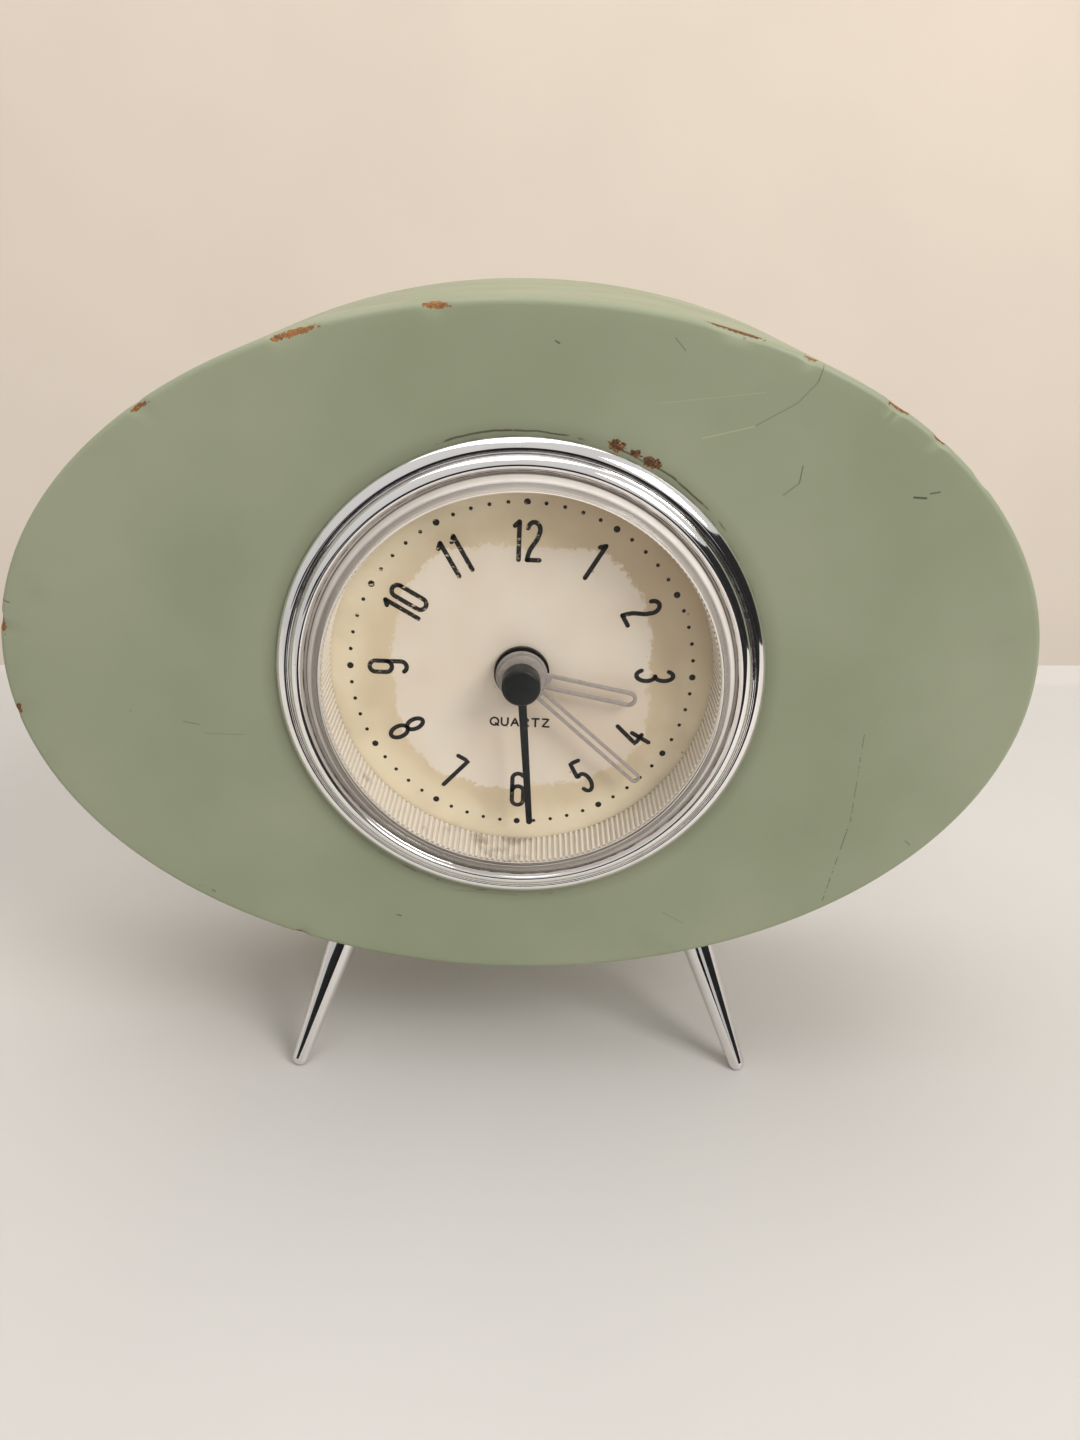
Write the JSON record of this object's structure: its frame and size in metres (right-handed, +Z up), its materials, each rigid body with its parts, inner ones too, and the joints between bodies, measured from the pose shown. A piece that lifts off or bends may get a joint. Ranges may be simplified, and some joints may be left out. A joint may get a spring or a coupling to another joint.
{
  "type": "desk clock",
  "caption": "Oval painted desk clock on splayed tapered chrome legs, with a round chrome-rimmed quartz insert, pale silver hour and minute hands, a black second hand and black dial numbers under a clear lens.",
  "frame": {"origin": "middle of the clock's footprint, on the surface the feet stand on", "axes": "+X to the right as the dial is read, +Y to the rear, +Z up; the dial faces -Y"},
  "size_m": [0.1906, 0.0688, 0.1594],
  "materials": {
    "body_paint": "satin sage green paint over fibreboard, chipped at the edges",
    "leg_chrome": "polished chrome plate",
    "bezel_chrome": "polished chrome plate with grime in the grooves",
    "lens_clear": "clear moulded plastic, glossy",
    "ring_frosted": "translucent cream plastic with fine upright flutes",
    "dial_card": "cream print, yellowed towards the edge",
    "cup_plastic": "black moulded plastic",
    "case_plastic": "black moulded plastic",
    "white_plastic": "white moulded plastic",
    "knob_plastic": "black moulded plastic",
    "band_rubber": "black rubber",
    "brass_parts": "turned brass",
    "steel_parts": "plain steel",
    "copper_wire": "enamelled copper wire",
    "board_green": "green solder mask",
    "cell_jacket": "plain printed jacket",
    "magnet_grey": "sintered magnet",
    "hand_silver": "bright silver",
    "hand_black": "black",
    "nut_black": "blackened metal"
  },
  "bodies": {
    "clock": {"body_block": "body_paint", "leg_front_left": "leg_chrome", "leg_front_right": "leg_chrome", "leg_rear_left": "leg_chrome", "leg_rear_right": "leg_chrome", "bezel": "bezel_chrome", "lens": "lens_clear", "reflector_ring": "ring_frosted", "dial_plate": "dial_card", "insert_cup": "cup_plastic", "movement_case": "case_plastic", "rear_cover": "case_plastic", "clock_chip": "case_plastic", "bearing_plate": "white_plastic", "coil_bobbin": "white_plastic", "grip_band": "band_rubber", "leg_bush_front_left": "brass_parts", "leg_bush_front_right": "brass_parts", "leg_bush_rear_left": "brass_parts", "leg_bush_rear_right": "brass_parts", "centre_bush": "brass_parts", "cover_screw_1": "steel_parts", "cover_screw_2": "steel_parts", "cover_screw_3": "steel_parts", "cover_screw_4": "steel_parts", "contact_positive": "steel_parts", "contact_negative": "steel_parts", "stator": "steel_parts", "coil_core": "steel_parts", "quartz_crystal": "steel_parts", "coil_winding": "copper_wire", "circuit_board": "board_green", "battery": "cell_jacket", "centre_nut": "nut_black"},
    "seconds": {"seconds_wheel": "white_plastic", "second_hand": "hand_black"},
    "third": {"third_wheel": "white_plastic"},
    "centre": {"centre_wheel": "white_plastic"},
    "intermediate": {"intermediate_wheel": "white_plastic"},
    "rotor": {"rotor": "magnet_grey"},
    "minute": {"minute_pipe": "brass_parts", "minute_hand": "hand_silver"},
    "motion": {"motion_wheel": "white_plastic"},
    "hour": {"hour_wheel": "white_plastic", "hour_hand": "hand_silver"},
    "setting": {"set_knob": "knob_plastic"}
  },
  "joints": [
    {"name": "seconds_spin", "type": "hinge", "parent": "clock", "child": "seconds", "pos_m": [0, -0.01, 0.0926], "axis": [0, 1, 0], "continuous": true},
    {"name": "third_spin", "type": "hinge", "parent": "clock", "child": "third", "pos_m": [-0.01055, -0.01, 0.09571], "axis": [0, 1, 0], "continuous": true},
    {"name": "centre_spin", "type": "hinge", "parent": "clock", "child": "centre", "pos_m": [0, -0.0144, 0.0926], "axis": [0, 1, 0], "continuous": true},
    {"name": "intermediate_spin", "type": "hinge", "parent": "clock", "child": "intermediate", "pos_m": [0.00028, -0.008, 0.10388], "axis": [0, 1, 0], "continuous": true},
    {"name": "rotor_spin", "type": "hinge", "parent": "clock", "child": "rotor", "pos_m": [0.00761, -0.0065, 0.10708], "axis": [0, 1, 0], "continuous": true},
    {"name": "minute_spin", "type": "hinge", "parent": "clock", "child": "minute", "pos_m": [0, -0.018, 0.0926], "axis": [0, 1, 0], "continuous": true},
    {"name": "motion_spin", "type": "hinge", "parent": "clock", "child": "motion", "pos_m": [0.0079, -0.0177, 0.09691], "axis": [0, 1, 0], "continuous": true},
    {"name": "hour_spin", "type": "hinge", "parent": "clock", "child": "hour", "pos_m": [0, -0.02, 0.0926], "axis": [0, 1, 0], "continuous": true},
    {"name": "setting_spin", "type": "hinge", "parent": "clock", "child": "setting", "pos_m": [0.01672, -0.008, 0.09513], "axis": [0, 1, 0], "continuous": true}
  ],
  "couplings": [
    {"joint": "third_spin", "follows": "seconds_spin", "ratio": -0.13333},
    {"joint": "centre_spin", "follows": "seconds_spin", "ratio": 0.016667},
    {"joint": "intermediate_spin", "follows": "seconds_spin", "ratio": -6},
    {"joint": "rotor_spin", "follows": "seconds_spin", "ratio": 30},
    {"joint": "motion_spin", "follows": "minute_spin", "ratio": -0.33333},
    {"joint": "hour_spin", "follows": "minute_spin", "ratio": 0.083333},
    {"joint": "setting_spin", "follows": "minute_spin", "ratio": 1}
  ]
}
